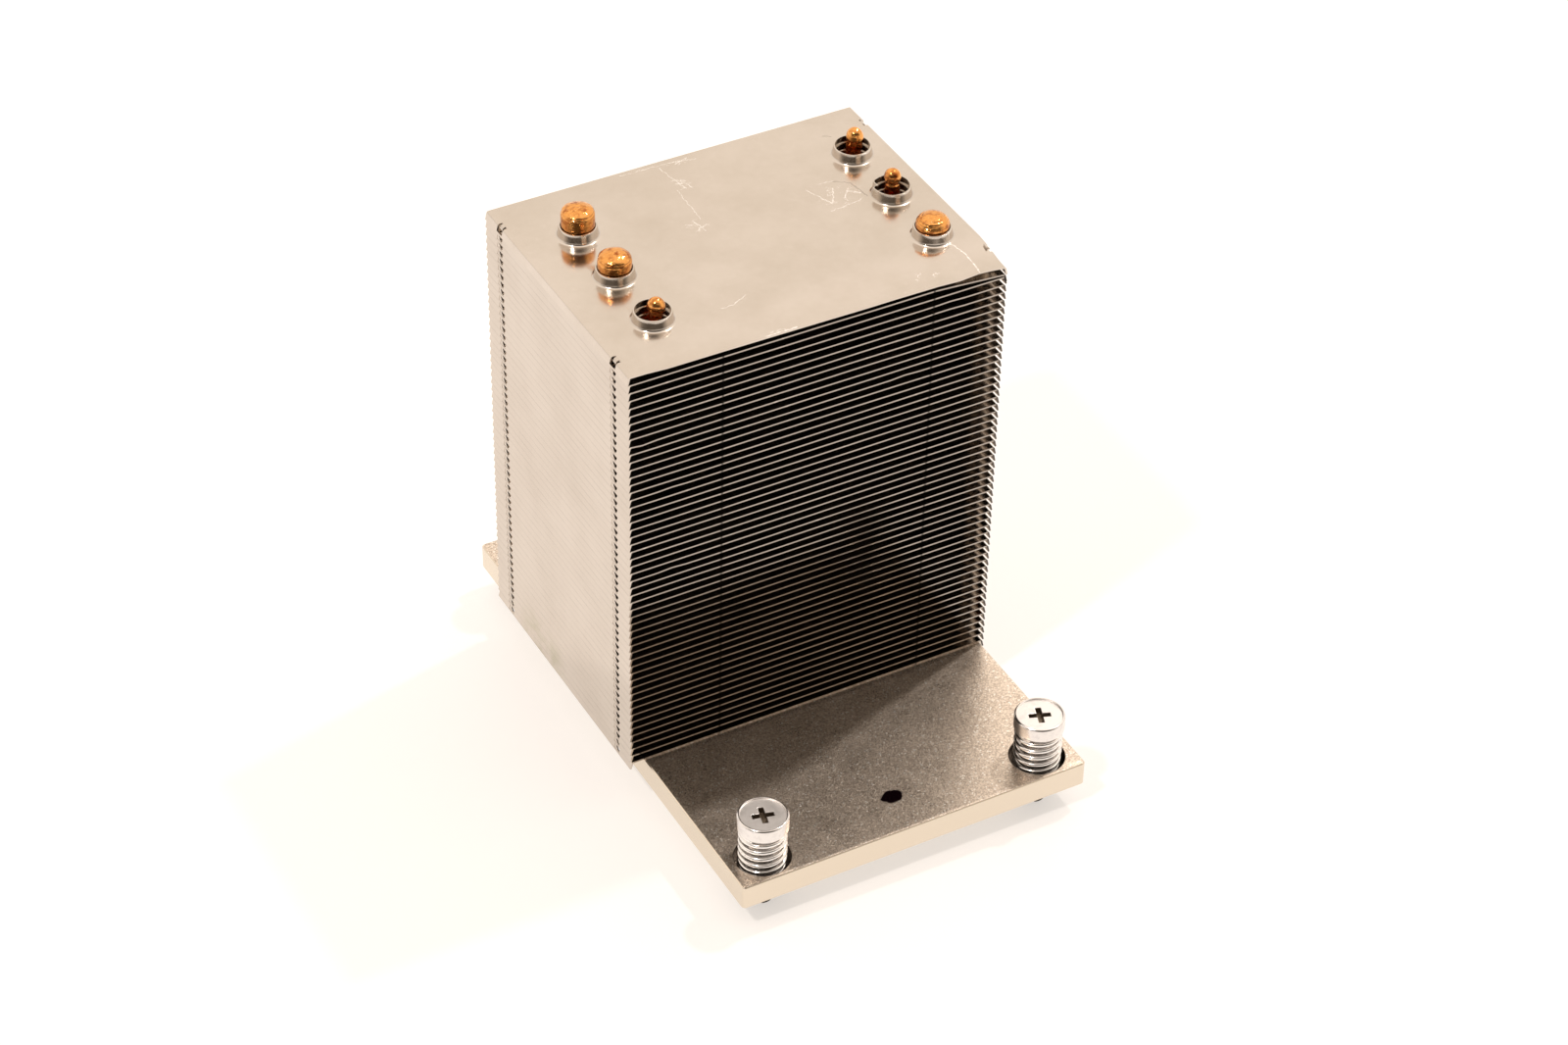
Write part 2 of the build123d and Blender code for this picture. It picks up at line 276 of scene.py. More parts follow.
finFinish = {
    "colour": (0.64, 0.578, 0.516),
    "dullColour": (0.585, 0.522, 0.46),
    "stainColour": (0.47, 0.44, 0.33),
    # painted shade along the seams between the flanges
    "seamShadeColour": (0.36, 0.31, 0.27),
    "cutColour": (0.40, 0.355, 0.315),
    "shadedCut": (0.10, 0.085, 0.075),
    # painted shade for the faces inside the stack
    "innerShadeColour": (0.115, 0.095, 0.078),
    "roughness": (0.12, 0.19),
    "innerRoughness": (0.34, 0.5),
    "cloudSize": 14 * mm,
    "rollSize": 0.35 * mm,
    "shadeMottleSize": 3 * mm,
    # darkened places and burrs on the fins' front edges
    "cutDepth": 0.02 * mm,
    "tickPlaces": (-19.65 * mm, 21.25 * mm),
    "tickWidth": 0.24 * mm,
    "burrSize": 1.3 * mm,
    # the front ends of the flanges are bright on the left side and shaded on the right one
    "leftFlange": 0.75 * mm,
    "rightFlange": (0.75 * mm, 0.55 * mm),
    # the flanges' lower edges repeat up the stack
    "edgeLevel": 3.724 * mm,
    "edgeWidth": 0.11 * mm,
    "flangeDepth": 0.265 * mm,
    "seamVariationSize": 1.1 * mm,
    # where the stain on the left side fades in and out
    "stainSide": (-36 * mm, -37 * mm),
    "stainHeight": (12 * mm, 6 * mm),
    "stainStart": (10 * mm, 16 * mm),
    "stainEnd": (30 * mm, 25 * mm),
    "stainSize": 4 * mm,
    "stainStrength": 0.75,
}


def makeFinNickel():
    f = finFinish
    material, tree, shader = startMaterial("finNickel", f["colour"], 1.0, f["roughness"][1])
    point = objectPoint(tree)
    parts = axisParts(tree, point)
    clouds = noiseField(tree, point, f["cloudSize"], 4)
    tone = mixColour(tree, remap(tree, clouds, 0.35, 0.75), f["colour"], f["dullColour"])

    # a dull stain low on the left side
    stain = product(
        tree,
        remap(tree, parts["Z"], *f["stainHeight"]),
        remap(tree, parts["X"], *f["stainSide"]),
        remap(tree, parts["Y"], *f["stainStart"]),
        remap(tree, parts["Y"], *f["stainEnd"]),
        remap(tree, noiseField(tree, point, f["stainSize"], 5), 0.35, 0.6),
        f["stainStrength"],
    )
    tone = mixColour(tree, stain, tone, f["stainColour"])

    # painted shade along the seams between the flanges, stronger in some places than in others
    across = calc(tree, "ABSOLUTE", calc(tree, "SUBTRACT", parts["X"], finMiddle))
    onSide = calc(tree, "GREATER_THAN", across, finHalf - f["flangeDepth"])
    turn = calc(tree, "DIVIDE", calc(tree, "SUBTRACT", parts["Z"], f["edgeLevel"]), pitch)
    edge = remap(tree, calc(tree, "FRACT", turn), f["edgeWidth"] / pitch, 0.0)
    seamVariation = noiseField(tree, stretched(tree, point, (1, 0.25, 1)), f["seamVariationSize"], 3)
    edge = product(tree, edge, onSide, remap(tree, seamVariation, 0.3, 0.65, 0.15, 0.9))
    tone = mixColour(tree, edge, tone, f["seamShadeColour"])

    # the sheared front edges are duller; painted shade makes them darkest at the right flanges, and they are
    # darkened at two places along X
    onCut = calc(tree, "LESS_THAN", parts["Y"], topLow.y + f["cutDepth"])
    burrs = noiseField(tree, stretched(tree, point, (1, 0, 1)), f["burrSize"], 4)
    cutTone = mixColour(tree, remap(tree, burrs, 0.62, 0.72, 0.0, 0.8), f["cutColour"], f["colour"])
    onLeftFlange = calc(tree, "LESS_THAN", parts["X"], topLow.x + f["leftFlange"])
    cutTone = mixColour(tree, onLeftFlange, cutTone, f["colour"])
    shaded = remap(tree, parts["X"], *[topHigh.x - reach for reach in f["rightFlange"]])
    for place in f["tickPlaces"]:
        away = calc(tree, "ABSOLUTE", calc(tree, "SUBTRACT", parts["X"], place))
        shaded = calc(tree, "MAXIMUM", shaded, remap(tree, away, f["tickWidth"], f["tickWidth"] * 0.6))
    cutTone = mixColour(tree, shaded, cutTone, f["shadedCut"])
    tone = mixColour(tree, onCut, tone, cutTone)
    setSurface(tree, shader, tone, remap(tree, clouds, 0.3, 0.7, *f["roughness"]))
    rolled = noiseField(tree, stretched(tree, point, (0.03, 1.0, 0.4)), f["rollSize"], 2)
    addBump(tree, shader, rolled, 0.05, 0.02 * mm)
    return material


def makeFinInnerShade():
    # painted shade for the faces between the fins, in the collar bores and under the top fin, a little
    # mottled
    f = finFinish
    material, tree, shader = startMaterial("finInnerShade", f["innerShadeColour"], 1.0, f["innerRoughness"][0])
    mottle = noiseField(tree, objectPoint(tree), f["shadeMottleSize"], 4)
    darker = tuple(0.6 * channel for channel in f["innerShadeColour"])
    tone = mixColour(tree, remap(tree, mottle, 0.35, 0.7), f["innerShadeColour"], darker)
    setSurface(tree, shader, tone, remap(tree, mottle, 0.3, 0.7, *f["innerRoughness"]))
    return material


topFinish = {
    "colour": (0.67, 0.605, 0.54),
    "dullColour": (0.60, 0.535, 0.465),
    "scratchColour": (0.96, 0.93, 0.90),
    "markColour": (0.20, 0.17, 0.15),
    "roughness": (0.13, 0.20),
    # scratches on the sheet: start, end and width, in millimetres
    "scratches": (
        ((-11.7, 38.1), (-2.2, 37.9), 0.12),
        ((-2.2, 37.9), (2.6, 37.0), 0.16),
        ((-1.5, 37.0), (1.2, 38.0), 0.13),
        ((-4.6, 37.3), (-3.8, 32.3), 0.13),
        ((-4.5, 32.7), (-2.2, 31.6), 0.13),
        ((-4.2, 31.4), (-1.7, 30.6), 0.17),
        ((-3.9, 32.6), (-3.2, 29.4), 0.14),
        ((-3.0, 32.0), (-2.0, 29.1), 0.12),
        ((-4.9, 29.5), (-5.3, 20.0), 0.10),
        ((-8.8, 19.6), (-6.4, 18.2), 0.14),
        ((-7.9, 17.0), (-5.2, 17.9), 0.17),
        ((-6.9, 20.0), (-6.2, 16.4), 0.13),
        ((15.2, 19.2), (17.4, 13.4), 0.14),
        ((17.4, 13.4), (19.8, 17.6), 0.14),
        ((16.0, 11.6), (22.6, 12.4), 0.12),
        ((18.2, 19.9), (21.0, 19.6), 0.12),
        ((21.6, 15.8), (23.4, 14.2), 0.24),
        ((20.2, 14.0), (22.2, 16.4), 0.16),
        ((-14.5, -5.2), (-12.0, -5.2), 0.14),
        ((-12.0, -5.2), (-9.0, -3.5), 0.14),
        ((-11.3, -15.2), (-5.6, -15.2), 0.24),
        ((29.4, -5.6), (30.5, -9.9), 0.20),
        ((30.5, -9.9), (30.3, -15.4), 0.20),
    ),
    "darkMarks": (
        ((20.8, 19.5), (23.3, 17.7), 0.16),
        ((23.3, 17.7), (24.0, 12.8), 0.16),
        ((26.2, 33.0), (27.4, 32.2), 0.14),
        ((-24.0, 2.6), (-22.9, 2.2), 0.14),
    ),
    # cloudy patches of fine rub marks: centre and radii
    "rubs": (
        ((-3.2, 31.0), (2.2, 2.6)),
        ((-6.8, 18.2), (2.6, 2.2)),
        ((19.5, 15.4), (5.0, 4.6)),
        ((-0.5, 37.2), (3.6, 1.0)),
        ((21.3, -12.2), (3.8, 1.4)),
        ((-8.5, -14.6), (3.2, 0.8)),
    ),
    "rubEverywhere": 0.10,
    "hairsPerMm": 1.6,
    "dullPatches": (((-10.5, -1.5), (5.0, 4.0)), ((17.0, -2.5), (5.5, 3.5)), ((-8.5, 30.0), (3.5, 3.2))),
    # lines on the sheet wander this far, in millimetres
    "wobble": 0.9,
    "cloudSize": 11 * mm,
    "peelSize": 2.2 * mm,
}


def makeTopNickel():
    f = topFinish
    material, tree, shader = startMaterial("topNickel", f["colour"], 1.0, f["roughness"][1])
    point = objectPoint(tree)
    inMillimetres = stretched(tree, point, (1 / mm, 1 / mm, 0))
    wobble = addNode(tree, "ShaderNodeTexNoise", {"Vector": inMillimetres, "Scale": 0.9, "Detail": 2.0})
    shift = vectorMath(tree, "SUBTRACT", wobble.outputs["Color"], (0.5, 0.5, 0.5))
    bent = vectorMath(tree, "ADD", inMillimetres, stretched(tree, shift, (f["wobble"], f["wobble"], 0)))

    def lineMarks(lines):
        marks = 0.0
        for start, end, width in lines:
            marks = calc(tree, "MAXIMUM", marks, lineMask(tree, bent, start, end, width))
        return marks

    def patches(spots, point, core):
        inside = 0.0
        for centre, radii in spots:
            patch = remap(tree, ellipseDistance(tree, point, centre, radii), 1.0, core)
            inside = calc(tree, "MAXIMUM", inside, patch)
        return inside

    broken = remap(tree, noiseField(tree, inMillimetres, 0.8, 3), 0.30, 0.56, 0.1, 0.85)
    marks = product(tree, lineMarks(f["scratches"]), broken)
    darkMarks = product(tree, lineMarks(f["darkMarks"]), 0.55)

    # rub marks are short bright hairs inside cloudy patches
    values = {"Vector": bent, "Scale": f["hairsPerMm"]}
    hairs = addNode(tree, "ShaderNodeTexVoronoi", values, feature="DISTANCE_TO_EDGE")
    sparse = remap(tree, noiseField(tree, inMillimetres, 1.3, 2), 0.52, 0.62)
    rubbed = calc(tree, "MAXIMUM", patches(f["rubs"], inMillimetres, 0.5), f["rubEverywhere"])
    hair = product(tree, remap(tree, hairs.outputs["Distance"], 0.05, 0.0), sparse, rubbed)
    marks = calc(tree, "MAXIMUM", marks, hair)

    clouds = noiseField(tree, point, f["cloudSize"], 4)
    tone = mixColour(tree, remap(tree, clouds, 0.35, 0.75), f["colour"], f["dullColour"])
    dull = product(tree, patches(f["dullPatches"], bent, 0.3), 0.35)
    tone = mixColour(tree, dull, tone, f["dullColour"])
    tone = mixColour(tree, darkMarks, tone, f["markColour"])
    tone = mixColour(tree, marks, tone, f["scratchColour"])
    rough = remap(tree, clouds, 0.3, 0.7, *f["roughness"])
    setSurface(tree, shader, tone, calc(tree, "ADD", rough, product(tree, marks, 0.3)))
    orangePeel = noiseField(tree, point, f["peelSize"], 2)
    height = calc(tree, "SUBTRACT", product(tree, orangePeel, 0.3), marks)
    addBump(tree, shader, height, 0.25, 0.02 * mm)
    return material


plateFinish = {
    "colour": (0.90, 0.785, 0.665),
    "darkGrain": (0.50, 0.41, 0.335),
    "paleSparkleGrain": (1.0, 0.95, 0.88),
    "sideColour": (0.745, 0.66, 0.545),
    # painted shade in the stepped holes
    "boreShadeColour": (0.20, 0.17, 0.145),
    "inkColour": (0.008, 0.0015, 0.004),
    "etchedRoughness": (0.29, 0.33),
    "sideRoughness": 0.24,
    # only the upper face is etched
    "skin": (0.03 * mm, 0.01 * mm),
    "grainSize": 0.27 * mm,
    "sparkFrom": 0.94,
    "cloudSize": 6 * mm,
    "inkPlace": (-0.5 * mm, -44.4 * mm),
    "inkRadii": (2.2 * mm, 1.75 * mm),
    "inkWobble": 1.9 * mm,
    "boreRadius": 5.12 * mm,
}


def makePlateNickel():
    f = plateFinish
    material, tree, shader = startMaterial("plateNickel", f["colour"], 1.0, f["sideRoughness"])
    point = objectPoint(tree)
    height = axisParts(tree, point)["Z"]
    onTop = remap(tree, height, *[plateHigh.z - depth for depth in f["skin"]])
    grain = noiseField(tree, point, f["grainSize"], 3, 0.7)
    values = {"Vector": point, "Scale": 1 / f["grainSize"]}
    cells = addNode(tree, "ShaderNodeTexVoronoi", values, feature="F1")
    chance = addNode(tree, "ShaderNodeSeparateColor", {0: cells.outputs["Color"]}).outputs
    etched = mixColour(tree, remap(tree, grain, 0.40, 0.60), f["darkGrain"], f["colour"])
    etched = mixColour(tree, remap(tree, chance[1], 0.6, 1.0, 0.0, 0.12), etched, f["darkGrain"])
    # pale grains, painted in as sparkle: they stand in for glints off single crystals
    spark = remap(tree, chance[0], f["sparkFrom"], f["sparkFrom"] + 0.03)
    etched = mixColour(tree, spark, etched, f["paleSparkleGrain"])
    tone = mixColour(tree, onTop, f["sideColour"], etched)

    # the stepped holes are plain machined metal, with painted shade making them darker than the skin
    quadrant = vectorMath(tree, "ABSOLUTE", point)
    fromAxis = ellipseDistance(tree, quadrant, screwAxis("rear_right"), (f["boreRadius"],) * 2)
    tone = mixColour(tree, remap(tree, fromAxis, 1.02, 1.0), tone, f["boreShadeColour"])

    # a blot of ink near the front edge
    wobble = remap(tree, noiseField(tree, point, f["inkWobble"], 2), 0.0, 1.0, -0.5, 0.5)
    fromInk = calc(tree, "ADD", ellipseDistance(tree, point, f["inkPlace"], f["inkRadii"]), wobble)
    tone = mixColour(tree, product(tree, remap(tree, fromInk, 1.08, 0.94), onTop), tone, f["inkColour"])

    clouds = noiseField(tree, point, f["cloudSize"], 4)
    rough = remap(tree, clouds, 0.3, 0.7, *f["etchedRoughness"])
    rough = calc(tree, "ADD", rough, remap(tree, chance[2], 0.0, 1.0, -0.03, 0.05))
    onSides = calc(tree, "SUBTRACT", 1.0, onTop)
    rough = calc(tree, "ADD", product(tree, rough, onTop), product(tree, onSides, f["sideRoughness"]))
    setSurface(tree, shader, tone, rough)
    relief = calc(tree, "ADD", grain, product(tree, chance[0], 0.5))
    addBump(tree, shader, product(tree, relief, onTop), 0.32, 0.05 * mm)
    return material


copperFinish = {
    "colour": (0.82, 0.375, 0.105),
    "darkColour": (0.36, 0.095, 0.02),
    "paleColour": (1.0, 0.62, 0.28),
    "sootColour": (0.50, 0.145, 0.045),
    "roughness": (0.08, 0.20),
    "cloudSize": 1.25 * mm,
    "swirlSize": 0.75 * mm,
    "pitSize": 0.4 * mm,
    # below the collar rims the copper turns dark
    "sootRange": (1.3 * mm, -2.2 * mm),
}


def makeCopper():
    f = copperFinish
    material, tree, shader = startMaterial("pipeCopper", f["colour"], 1.0, f["roughness"][1])
    point = objectPoint(tree)
    clouds = noiseField(tree, point, f["cloudSize"], 4)
    swirls = noiseField(tree, stretched(tree, point, (0.35, 0.35, 1.0)), f["swirlSize"], 2)
    pits = noiseField(tree, point, f["pitSize"], 3)
    height = axisParts(tree, point)["Z"]
    tone = mixColour(tree, remap(tree, clouds, 0.50, 0.68), f["colour"], f["darkColour"])
    tone = mixColour(tree, remap(tree, pits, 0.58, 0.74, 0.0, 0.7), tone, f["paleColour"])
    soot = remap(tree, height, *[topHigh.z + place for place in f["sootRange"]])
    soot = product(tree, soot, remap(tree, clouds, 0.2, 0.5, 0.6, 1.0))
    tone = mixColour(tree, soot, tone, f["sootColour"])
    setSurface(tree, shader, tone, remap(tree, clouds, 0.35, 0.7, *f["roughness"]))
    relief = calc(tree, "ADD", product(tree, swirls, 1.5), clouds)
    relief = calc(tree, "ADD", relief, product(tree, pits, 0.15))
    addBump(tree, shader, relief, 0.45, 0.20 * mm)
    return material


screwFinish = {
    "colour": (0.82, 0.785, 0.76),
    "darkColour": (0.66, 0.62, 0.60),
    # painted shade in the cross recess and on the threaded tip
    "recessShadeColour": (0.20, 0.16, 0.12),
    "tipShadeColour": (0.10, 0.07, 0.05),
    "recessRadius": 2.3 * mm,
    "faceRadius": 4.1 * mm,
    "faceDepth": 0.42 * mm,
    # the head is dull down to this depth, and the masks fade over these lengths
    "headDepth": 2.5 * mm,
    "faceFade": 0.1 * mm,
    "recessFade": 0.15 * mm,
    "tipFade": 0.2 * mm,
    "ringPitch": 0.22 * mm,
    "cloudSize": 1.6 * mm,
    "roughness": (0.17, 0.25),
    "faceRoughness": 0.40,
}


def makeScrewZinc():
    # turned rings are drawn on the "local" attribute, which is centred on each screw's axis
    f = screwFinish
    material, tree, shader = startMaterial("screwZinc", f["colour"], 1.0, 0.2)
    local = addNode(tree, "ShaderNodeAttribute", attribute_name="local").outputs["Vector"]
    radius = vectorMath(tree, "LENGTH", stretched(tree, local, (1, 1, 0)), output="Value")
    height = axisParts(tree, local)["Z"]
    rings = calc(tree, "SINE", product(tree, radius, 2 * math.pi / f["ringPitch"]))
    clouds = noiseField(tree, local, f["cloudSize"], 4)
    tone = mixColour(tree, remap(tree, clouds, 0.5, 0.8), f["colour"], f["darkColour"])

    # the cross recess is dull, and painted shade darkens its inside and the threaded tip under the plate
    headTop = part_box("screw_front_left")[1].z
    recessTop = headTop - f["faceDepth"]
    inRecess = remap(tree, height, recessTop, recessTop - f["recessFade"])
    inRecess = product(tree, inRecess, calc(tree, "LESS_THAN", radius, f["recessRadius"]))
    tone = mixColour(tree, inRecess, tone, f["recessShadeColour"])
    tone = mixColour(tree, remap(tree, height, 0.0, -f["tipFade"]), tone, f["tipShadeColour"])

    onFace = remap(tree, radius, f["faceRadius"] + f["faceFade"], f["faceRadius"])
    onFace = product(tree, onFace, calc(tree, "GREATER_THAN", height, headTop - f["headDepth"]))
    rough = remap(tree, clouds, 0.35, 0.7, *f["roughness"])
    rough = calc(tree, "ADD", rough, product(tree, onFace, f["faceRoughness"] - f["roughness"][0]))
    setSurface(tree, shader, tone, rough)
    addBump(tree, shader, calc(tree, "ADD", rings, clouds), 0.08, 0.01 * mm)
    return material


springFinish = {"colour": (0.88, 0.86, 0.84), "dullColour": (0.60, 0.57, 0.55), "drawnSize": 0.5 * mm}


def makeSpringSteel():
    f = springFinish
    material, tree, shader = startMaterial("springSteel", f["colour"], 1.0, 0.12)
    drawn = noiseField(tree, objectPoint(tree), f["drawnSize"], 3)
    tone = mixColour(tree, remap(tree, drawn, 0.55, 0.8), f["colour"], f["dullColour"])
    setSurface(tree, shader, tone, remap(tree, drawn, 0.35, 0.7, 0.10, 0.24))
    return material


clipFinish = {"colour": (0.20, 0.19, 0.18), "oilColour": (0.10, 0.095, 0.10), "oilSize": 0.9 * mm}


def makeClipSteel():
    f = clipFinish
    material, tree, shader = startMaterial("clipSteel", f["colour"], 1.0, 0.35)
    oily = noiseField(tree, objectPoint(tree), f["oilSize"], 4)
    tone = mixColour(tree, remap(tree, oily, 0.4, 0.7), f["colour"], f["oilColour"])
    setSurface(tree, shader, tone, remap(tree, oily, 0.3, 0.7, 0.28, 0.45))
    return material


finNickel = makeFinNickel()
finInnerShade = makeFinInnerShade()
topNickel = makeTopNickel()
plateNickel = makePlateNickel()
pipeCopper = makeCopper()
screwZinc = makeScrewZinc()
springSteel = makeSpringSteel()
clipSteel = makeClipSteel()
print("finishes made")


# Fins: thin sheet that is never quite flat along its free front and rear strips

finShape = {
    "freeStrip": 7.5 * mm,
    "wave": 0.045 * mm,
    "waveLength": 17 * mm,
    "flatEnds": 6 * mm,
    "cutsAcross": 26,
    "stripSteps": 3,
    # bumps in single front edges: fin, place along X, half width, height
    "kinks": (
        ("fin_51", 24.0 * mm, 2.0 * mm, 0.16 * mm),
        ("fin_50", 23.2 * mm, 2.2 * mm, 0.18 * mm),
        ("fin_43", 16.5 * mm, 1.6 * mm, 0.20 * mm),
        ("fin_45", -34.4 * mm, 1.8 * mm, -0.30 * mm),
        ("fin_38", -30.0 * mm, 1.2 * mm, 0.18 * mm),
        ("fin_27", -29.0 * mm, 1.5 * mm, 0.20 * mm),
    ),
    # faces this near a side, a flange's lower edge, or the front or rear edge can be seen from outside; all
    # other faces get painted shade
    "flangeReach": 0.6 * mm,
    "lowerEdgeReach": 0.4 * mm,
    "edgeReach": 0.05 * mm,
}
secondFin = {"name": "fin_53", "bendStart": 21.5 * mm, "drop": 1.12 * mm, "reachBack": 13 * mm}


def placesBetween(low, high, count):
    return [low + (high - low) * k / count for k in range(1, count)]


def finLift(name, x, y, index):
    s = finShape
    front = smoothStep(topLow.y + s["freeStrip"], topLow.y, y)
    rear = smoothStep(topHigh.y - s["freeStrip"], topHigh.y, y)
    ripple = noise.noise(Vector((x / s["waveLength"], index * 3.7, 0.0 if front > 0 else 5.0)))
    lift = s["wave"] * ripple * 2 * max(front, rear) * offSides(x, s["flatEnds"])
    for fin, place, halfWidth, height in s["kinks"]:
        if fin == name:
            lift += height * front * math.exp(-(((x - place) / halfWidth) ** 2))
    if name == secondFin["name"]:
        along = max(0.0, (x - secondFin["bendStart"]) / (topHigh.x - secondFin["bendStart"]))
        back = smoothStep(topLow.y + secondFin["reachBack"], topLow.y, y)
        lift -= secondFin["drop"] * along ** 1.15 * back
    return lift


def markPaintedShade(bm, isInner):
    # the second material, painted shade, is for faces inside the stack
    bm.normal_update()
    for f in bm.faces:
        f.material_index = 1 if isInner(f.calc_center_median(), f.normal) else 0


def insideStack(centre, normal):
    s = finShape
    across = abs(centre.x - finMiddle)
    outwards = normal.x * math.copysign(1, centre.x - finMiddle)
    onFlange = across > finHalf - s["flangeReach"] and (outwards > 0.75 or abs(normal.y) > 0.7)
    onLowerEdge = across > finHalf - s["lowerEdgeReach"] and normal.z < -0.9
    onFront = normal.y < -0.7 and centre.y < topLow.y + s["edgeReach"]
    onRear = normal.y > 0.7 and centre.y > topHigh.y - s["edgeReach"]
    return not (onFlange or onLowerEdge or onFront or onRear)


def makeFins():
    s = finShape
    stripEdges = [topLow.y + s["freeStrip"], topHigh.y - s["freeStrip"]]
    frontSteps = placesBetween(topLow.y, stripEdges[0], s["stripSteps"])
    rearSteps = placesBetween(stripEdges[1], topHigh.y, s["stripSteps"])
    for index, name in enumerate(finNames):
        bm = mergedCopy(name)
        cutAcross(bm, 0, placesBetween(topLow.x, topHigh.x, s["cutsAcross"]))
        cutAcross(bm, 1, stripEdges + frontSteps + rearSteps)
        for v in bm.verts:
            v.co.z += finLift(name, v.co.x, v.co.y, index)
        markPaintedShade(bm, insideStack)
        pieceName = name.replace("fin_", "collaredFin")
        addPiece(pieceName, bm, [finNickel, finInnerShade], "root", [name])
    bm = mergedCopy("slotted_fins")
    markPaintedShade(bm, insideStack)
    addPiece("slottedFins", bm, [finNickel, finInnerShade], "root", ["slotted_fins"])


makeFins()
print("fins made:", len(finNames))


# Interlock tabs: a small lug stands in each notch, and leaves a slanted opening above it

tabShape = {
    # the lug's outline as places along Y and heights over the fin's underside, in millimetres
    "outline": (
        (-1.02, -1.0), (1.02, -1.0), (1.02, 0.30), (0.70, -0.12), (0.30, -0.46), (-0.15, -0.74),
        (-0.55, -0.84), (-0.82, -0.72), (-0.98, -0.40),
    ),
    # on the right side its upper edge is higher, but no higher than its tallest point
    "rightRise": 0.85,
    "foot": -1.0,
    "tallest": 0.30,
    "thickness": 0.2 * mm,
    "setBack": 0.05 * mm,
    "sheet": 0.3 * mm,
    "flare": 0.35 * mm,
    "drop": 1.276 * mm,
    "inset": 5.5 * mm,
    "firstLevel": 5.0 * mm,
    "slottedFins": 11,
    # the curled strip in the top fin's notches: its ends along Y, its radius and its turn
    "curlAlong": (-0.35 * mm, 0.72 * mm),
    "curlRadius": 0.72 * mm,
    "curlReach": 0.9 * mm,
    "curlGap": 0.02 * mm,
    "curlThickness": 0.24 * mm,
    "curlTurn": 80,
    "curlSteps": 6,
}


def addLug(bm, side, middle):
    s = tabShape
    lean = s["flare"] / (s["drop"] + s["sheet"])
    outer = finHalf - s["flare"] - s["setBack"]
    outline = []
    for along, height in s["outline"]:
        if side > 0 and height > s["foot"]:
            height = min(s["tallest"], height + s["rightRise"])
        x = finMiddle + side * (outer + lean * (s["sheet"] - height * mm))
        outline.append(bm.verts.new((x, middle + along * mm, s["firstLevel"] + height * mm)))
    face = bm.faces.new(outline)
    made = bmesh.ops.extrude_face_region(bm, geom=[face])["geom"]
    inwards = [g for g in made if isinstance(g, bmesh.types.BMVert)]
    bmesh.ops.translate(bm, verts=inwards, vec=(-side * s["thickness"], 0, 0))


def addCurledStrip(bm, side, middle):
    # the strip's end face is spun down about a line along Y
    s = tabShape
    x = finMiddle + side * (finHalf - s["flare"] - s["curlReach"])
    high = sheetTop - s["curlGap"]
    low = high - s["curlThickness"]
    start, end = [middle + along for along in s["curlAlong"]]
    rim = ((start, high), (end, high), (end, low), (start, low))
    face = bm.faces.new([bm.verts.new((x, y, z)) for y, z in rim])
    turn = side * math.radians(s["curlTurn"])
    centre = (x, middle, high - s["curlRadius"])
    wind(bm, [face, *face.edges, *face.verts], centre, (0, 1, 0), turn, s["curlSteps"])


def makeTabs():
    s = tabShape
    bm = bmesh.new()
    notches = [(side, y) for side in (-1, 1) for y in (topLow.y + s["inset"], topHigh.y - s["inset"])]
    for side, middle in notches:
        addLug(bm, side, middle)
    first = bm.verts[:] + bm.edges[:] + bm.faces[:]
    for number in range(1, len(finNames) + s["slottedFins"]):
        copied = bmesh.ops.duplicate(bm, geom=first)["geom"]
        verts = [g for g in copied if isinstance(g, bmesh.types.BMVert)]
        bmesh.ops.translate(bm, verts=verts, vec=(0, 0, number * pitch))
    for side, middle in notches:
        addCurledStrip(bm, side, middle)
    bmesh.ops.remove_doubles(bm, verts=bm.verts, dist=mergeDistance)
    bmesh.ops.recalc_face_normals(bm, faces=bm.faces)
    return addPiece("interlockTabs", bm, [finNickel], "root", [], 40)


makeTabs()
print("interlock tabs made")


# Top fin: collars with a rolled foot, gentle waves, and a bent front right corner

topShape = {
    "footRadius": 3.667 * mm,
    "rimRadius": 3.37 * mm,
    # low faces this near a collar's axis are not the sheet's, and its bore lies this near the axis
    "collarReach": 3.3 * mm,
    "boreReach": 3.34 * mm,
    "footFillet": 0.42 * mm,
    "rimBevel": 0.05 * mm,
    "sheetSlack": 0.01 * mm,
    "ringSlack": 0.03 * mm,
    "gridX": 30,
    "gridY": 24,
    "wave": 0.05 * mm,
    "waveLength": 22 * mm,
    "flatEnds": 5 * mm,
    # the sagging front edge and its bent right corner: places along X and lifts, in millimetres
    "frontEdge": (
        (-37.4, 0.0), (-34.0, -0.05), (-30.0, -0.32), (-20.0, -0.36), (-10.0, -0.42), (0.0, -0.50),
        (8.0, -0.60), (14.0, -0.60), (22.0, -0.68), (26.4, -0.92), (28.2, -0.76), (30.0, -0.62),
        (32.0, -0.76), (33.6, -0.96), (35.9, -1.32),
    ),
    "bendReach": 9.5 * mm,
    # the middle right collar's rim is knocked in on one side: widths and cuts in degrees round it
    "dentTowards": (-0.87, 0.49),
    "dentDepth": 0.75 * mm,
    "dentWidth": 9,
    "dentCuts": (2, 6, 11, 17, 24),
    "dentLip": 0.14 * mm,
    "dentFoot": 0.3 * mm,
}


def pipeAxes():
    # where each pipe's two legs stand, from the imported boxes
    axes = {}
    for row in rows:
        low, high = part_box(f"heat_pipe_{row}")
        radius = min((high.y - low.y) / 2, pipeRadius)
        middle = (low.y + high.y) / 2
        axes[row] = {"left": Vector((low.x + radius, middle)), "right": Vector((high.x - radius, middle))}
    return axes


# a leg and the upright part of its collar lie this near the leg's axis
legReach = 4 * mm
pipeRadius = 3 * mm
legAxes = pipeAxes()
collarPlaces = [legAxes[row][side] for row in rows for side in ("left", "right")]


